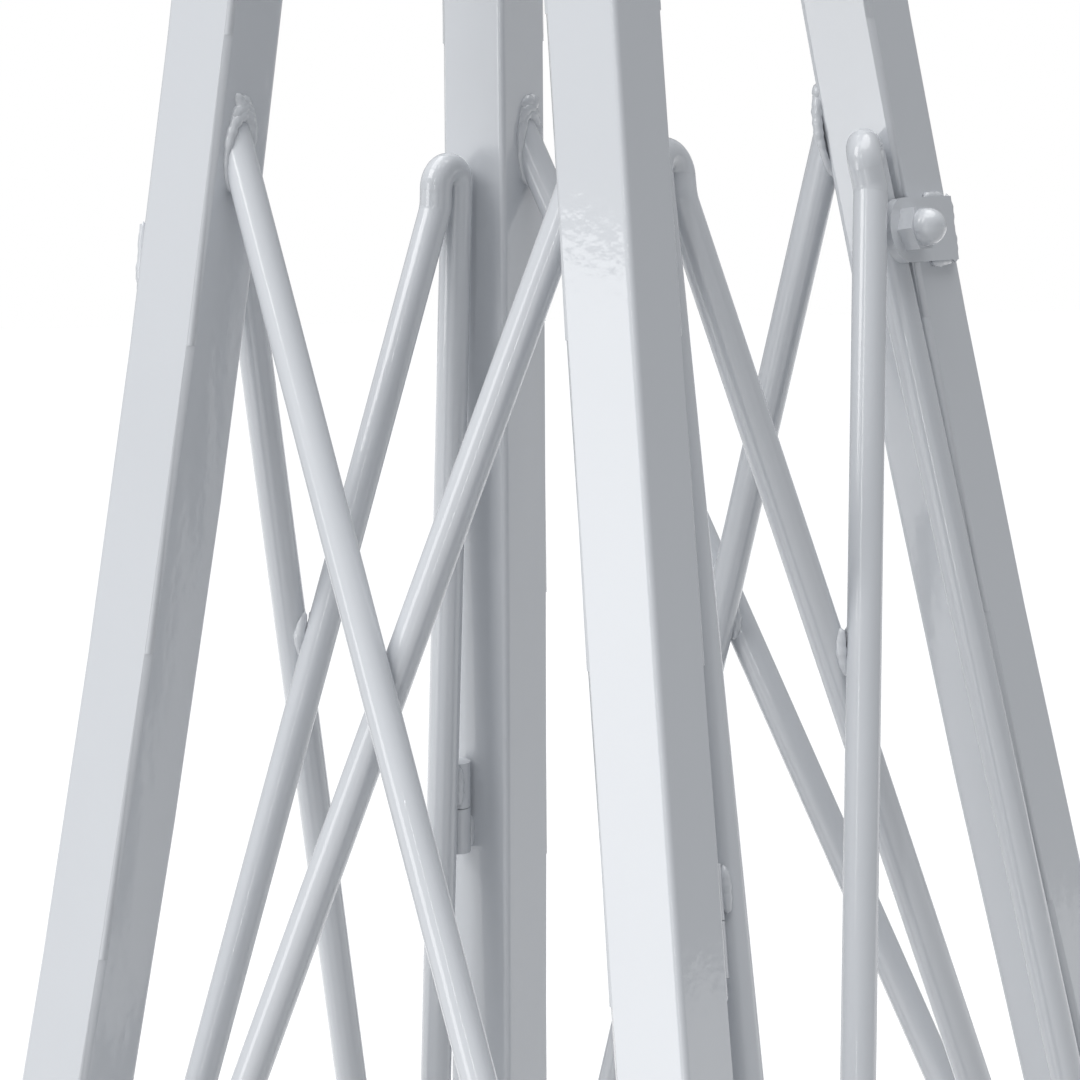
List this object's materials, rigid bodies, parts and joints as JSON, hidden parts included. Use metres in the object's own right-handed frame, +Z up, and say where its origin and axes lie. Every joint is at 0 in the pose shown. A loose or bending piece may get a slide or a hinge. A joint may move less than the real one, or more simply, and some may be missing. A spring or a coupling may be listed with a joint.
{
  "type": "garden trellis",
  "caption": "Tall free-standing four-legged metal garden trellis with curved square legs, crossed welded rods and hinged rod panels held by domed cap nuts, cap and ball finial.",
  "frame": {"origin": "on the ground in the middle of the four feet", "axes": "+Z up along the trellis; +Y towards the back leg and the right leg, +X towards the front leg and the right leg"},
  "size_m": [0.5062, 0.5062, 1.909],
  "materials": {
    "coat": "gloss",
    "nut": "gloss",
    "plug": "matte"
  },
  "bodies": {
    "frame": {"leg_left": "coat", "leg_back": "coat", "leg_front": "coat", "leg_right": "coat", "foot_plugs": "plug", "top_cap": "coat", "finial": "coat", "rod_fl_lower_outer": "coat", "rod_fl_lower_inner": "coat", "rod_fl_middle_outer": "coat", "rod_fl_middle_inner": "coat", "rod_fl_upper_outer": "coat", "rod_fl_upper_inner": "coat", "rod_br_lower_outer": "coat", "rod_br_lower_inner": "coat", "rod_br_middle_outer": "coat", "rod_br_middle_inner": "coat", "rod_br_upper_outer": "coat", "rod_br_upper_inner": "coat", "pin_fr_lower": "coat", "pin_fr_middle": "coat", "pin_fr_upper": "coat", "pin_bl_lower": "coat", "pin_bl_middle": "coat", "pin_bl_upper": "coat", "tabs_right": "coat", "tabs_left": "coat", "nuts_right": "nut", "nuts_left": "nut"},
    "panel_fr_lower": {"loop_fr_lower_hinge": "coat", "loop_fr_lower_lock": "coat", "sleeve_fr_lower": "coat", "stud_fr_lower": "nut"},
    "panel_fr_middle": {"loop_fr_middle_hinge": "coat", "loop_fr_middle_lock": "coat", "sleeve_fr_middle": "coat", "stud_fr_middle": "nut"},
    "panel_fr_upper": {"loop_fr_upper_hinge": "coat", "loop_fr_upper_lock": "coat", "sleeve_fr_upper": "coat", "stud_fr_upper": "nut"},
    "panel_bl_lower": {"loop_bl_lower_hinge": "coat", "loop_bl_lower_lock": "coat", "sleeve_bl_lower": "coat", "stud_bl_lower": "nut"},
    "panel_bl_middle": {"loop_bl_middle_hinge": "coat", "loop_bl_middle_lock": "coat", "sleeve_bl_middle": "coat", "stud_bl_middle": "nut"},
    "panel_bl_upper": {"loop_bl_upper_hinge": "coat", "loop_bl_upper_lock": "coat", "sleeve_bl_upper": "coat", "stud_bl_upper": "nut"}
  },
  "joints": [
    {"name": "swing_fr_lower", "type": "hinge", "parent": "frame", "child": "panel_fr_lower", "pos_m": [0.19108, -0.16771, 0.24816], "axis": [-0.1928, 0.1908, 0.9625], "range_deg": [0, 85]},
    {"name": "swing_fr_middle", "type": "hinge", "parent": "frame", "child": "panel_fr_middle", "pos_m": [0.10631, -0.08444, 0.75019], "axis": [-0.1387, 0.1364, 0.9809], "range_deg": [0, 85]},
    {"name": "swing_fr_upper", "type": "hinge", "parent": "frame", "child": "panel_fr_upper", "pos_m": [0.04984, -0.02642, 1.26211], "axis": [-0.0824, 0.0808, 0.9933], "range_deg": [0, 85]},
    {"name": "swing_bl_lower", "type": "hinge", "parent": "frame", "child": "panel_bl_lower", "pos_m": [-0.19108, 0.16771, 0.24816], "axis": [0.1928, -0.1908, 0.9625], "range_deg": [0, 85]},
    {"name": "swing_bl_middle", "type": "hinge", "parent": "frame", "child": "panel_bl_middle", "pos_m": [-0.10631, 0.08444, 0.75019], "axis": [0.1387, -0.1364, 0.9809], "range_deg": [0, 85]},
    {"name": "swing_bl_upper", "type": "hinge", "parent": "frame", "child": "panel_bl_upper", "pos_m": [-0.04984, 0.02642, 1.26211], "axis": [0.0824, -0.0808, 0.9933], "range_deg": [0, 85]}
  ]
}
